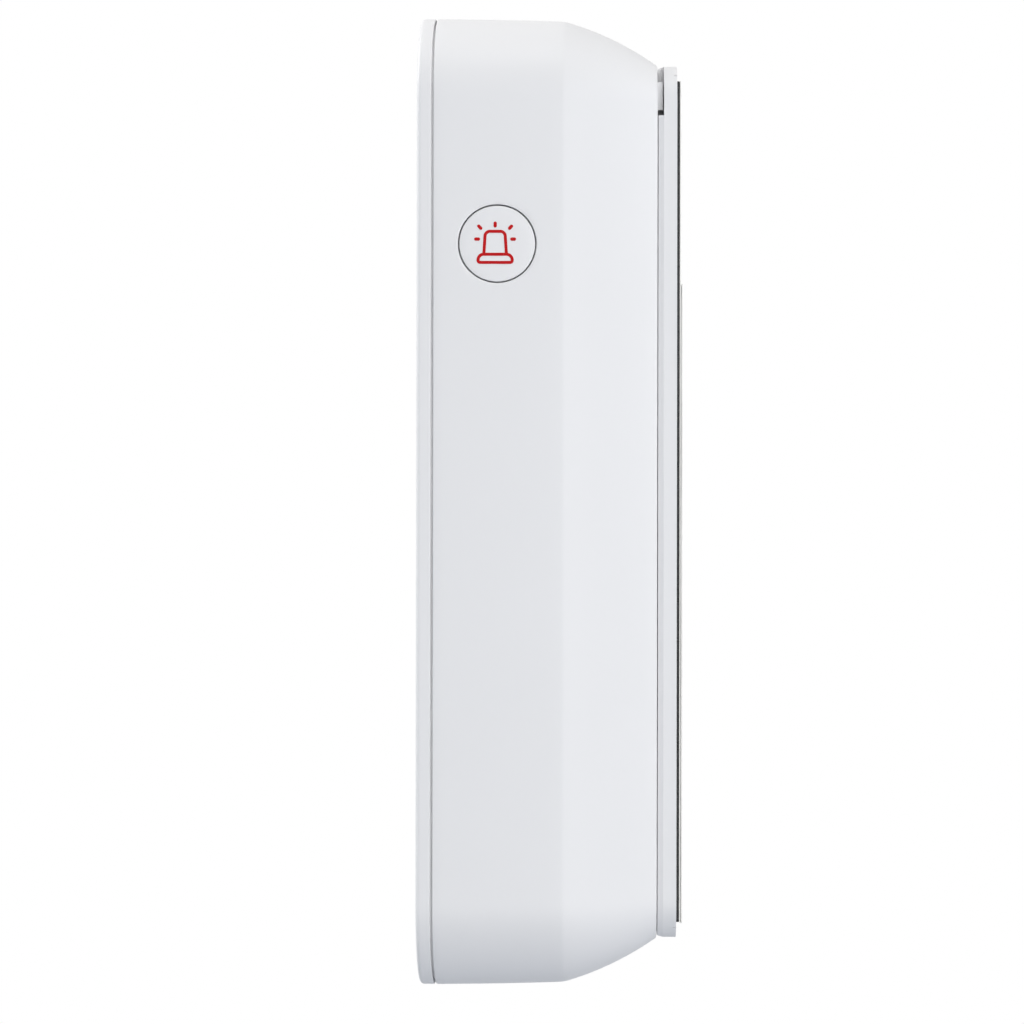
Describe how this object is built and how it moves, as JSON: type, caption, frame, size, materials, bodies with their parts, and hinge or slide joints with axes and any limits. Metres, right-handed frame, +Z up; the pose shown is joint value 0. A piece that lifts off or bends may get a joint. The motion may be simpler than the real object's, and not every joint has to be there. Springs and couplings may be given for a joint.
{
  "type": "security keypad",
  "caption": "Slim wall-hung alarm keypad with push keys, a round side button and a hook-on wall bracket with adhesive strips.",
  "frame": {"origin": "middle of the wall bracket's back face, at the centre of its screw holes", "axes": "+Z up the keypad, +Y into the wall, +X towards the side with the round button"},
  "size_m": [0.1, 0.0405, 0.15],
  "materials": {
    "white_shell": "fine matt, off-white",
    "key_caps": "satin, off-white",
    "button_cap": "fine matt, off-white",
    "foam": "dark closed-cell foam",
    "liner_film": "waxy release film",
    "silicone": "grey silicone",
    "circuit_board": "green solder mask",
    "light_pipe": "frosted clear",
    "lamp": "pale resin",
    "sounder_case": "black moulding",
    "shield": "tin-plated",
    "can": "satin",
    "cell": "printed sleeve, plain",
    "screw": "zinc-plated",
    "plunger_rod": "smooth, off-white"
  },
  "bodies": {
    "bracket": {"wall_bracket": "white_shell", "adhesive_left": "foam", "adhesive_right": "foam", "liner_left": "liner_film", "liner_right": "liner_film"},
    "keypad": {"rear_housing": "white_shell", "front_cover": "white_shell", "status_window": "light_pipe", "key_mat": "silicone", "main_board": "circuit_board", "case_screws": "screw", "status_lamps": "lamp", "sounder": "sounder_case", "controller_chip": "sounder_case", "radio_module": "shield", "antenna": "shield", "capacitors": "can", "panic_switch": "sounder_case", "side_board": "circuit_board", "board_header": "sounder_case", "tamper_switch": "sounder_case", "contacts_upper": "shield", "contacts_lower": "shield", "battery_1": "cell", "battery_2": "cell", "battery_3": "cell", "battery_4": "cell"},
    "key_away": {"key_away": "key_caps"},
    "key_home": {"key_home": "key_caps"},
    "key_disarm": {"key_disarm": "key_caps"},
    "key_1": {"key_1": "key_caps"},
    "key_2": {"key_2": "key_caps"},
    "key_3": {"key_3": "key_caps"},
    "key_4": {"key_4": "key_caps"},
    "key_5": {"key_5": "key_caps"},
    "key_6": {"key_6": "key_caps"},
    "key_7": {"key_7": "key_caps"},
    "key_8": {"key_8": "key_caps"},
    "key_9": {"key_9": "key_caps"},
    "key_star": {"key_star": "key_caps"},
    "key_0": {"key_0": "key_caps"},
    "key_hash": {"key_hash": "key_caps"},
    "panic_button": {"panic_button": "button_cap"},
    "tamper_plunger": {"tamper_plunger": "plunger_rod"}
  },
  "joints": [
    {"name": "keypad_lift", "type": "slide", "parent": "bracket", "child": "keypad", "axis": [0, 0, 1], "range_m": [0, 0.006]},
    {"name": "key_away_press", "type": "slide", "parent": "keypad", "child": "key_away", "axis": [0, 1, 0], "range_m": [0, 0.0008], "stiffness_N_per_m": 1500},
    {"name": "key_home_press", "type": "slide", "parent": "keypad", "child": "key_home", "axis": [0, 1, 0], "range_m": [0, 0.0008], "stiffness_N_per_m": 1500},
    {"name": "key_disarm_press", "type": "slide", "parent": "keypad", "child": "key_disarm", "axis": [0, 1, 0], "range_m": [0, 0.0008], "stiffness_N_per_m": 1500},
    {"name": "key_1_press", "type": "slide", "parent": "keypad", "child": "key_1", "axis": [0, 1, 0], "range_m": [0, 0.0008], "stiffness_N_per_m": 1500},
    {"name": "key_2_press", "type": "slide", "parent": "keypad", "child": "key_2", "axis": [0, 1, 0], "range_m": [0, 0.0008], "stiffness_N_per_m": 1500},
    {"name": "key_3_press", "type": "slide", "parent": "keypad", "child": "key_3", "axis": [0, 1, 0], "range_m": [0, 0.0008], "stiffness_N_per_m": 1500},
    {"name": "key_4_press", "type": "slide", "parent": "keypad", "child": "key_4", "axis": [0, 1, 0], "range_m": [0, 0.0008], "stiffness_N_per_m": 1500},
    {"name": "key_5_press", "type": "slide", "parent": "keypad", "child": "key_5", "axis": [0, 1, 0], "range_m": [0, 0.0008], "stiffness_N_per_m": 1500},
    {"name": "key_6_press", "type": "slide", "parent": "keypad", "child": "key_6", "axis": [0, 1, 0], "range_m": [0, 0.0008], "stiffness_N_per_m": 1500},
    {"name": "key_7_press", "type": "slide", "parent": "keypad", "child": "key_7", "axis": [0, 1, 0], "range_m": [0, 0.0008], "stiffness_N_per_m": 1500},
    {"name": "key_8_press", "type": "slide", "parent": "keypad", "child": "key_8", "axis": [0, 1, 0], "range_m": [0, 0.0008], "stiffness_N_per_m": 1500},
    {"name": "key_9_press", "type": "slide", "parent": "keypad", "child": "key_9", "axis": [0, 1, 0], "range_m": [0, 0.0008], "stiffness_N_per_m": 1500},
    {"name": "key_star_press", "type": "slide", "parent": "keypad", "child": "key_star", "axis": [0, 1, 0], "range_m": [0, 0.0008], "stiffness_N_per_m": 1500},
    {"name": "key_0_press", "type": "slide", "parent": "keypad", "child": "key_0", "axis": [0, 1, 0], "range_m": [0, 0.0008], "stiffness_N_per_m": 1500},
    {"name": "key_hash_press", "type": "slide", "parent": "keypad", "child": "key_hash", "axis": [0, 1, 0], "range_m": [0, 0.0008], "stiffness_N_per_m": 1500},
    {"name": "panic_press", "type": "slide", "parent": "keypad", "child": "panic_button", "axis": [-1, 0, 0], "range_m": [0, 0.0008], "stiffness_N_per_m": 1500},
    {"name": "tamper_slide", "type": "slide", "parent": "keypad", "child": "tamper_plunger", "axis": [0, 1, 0], "range_m": [0, 0.0009]}
  ],
  "couplings": [
    {"joint": "tamper_slide", "follows": "keypad_lift", "ratio": 0.15}
  ]
}
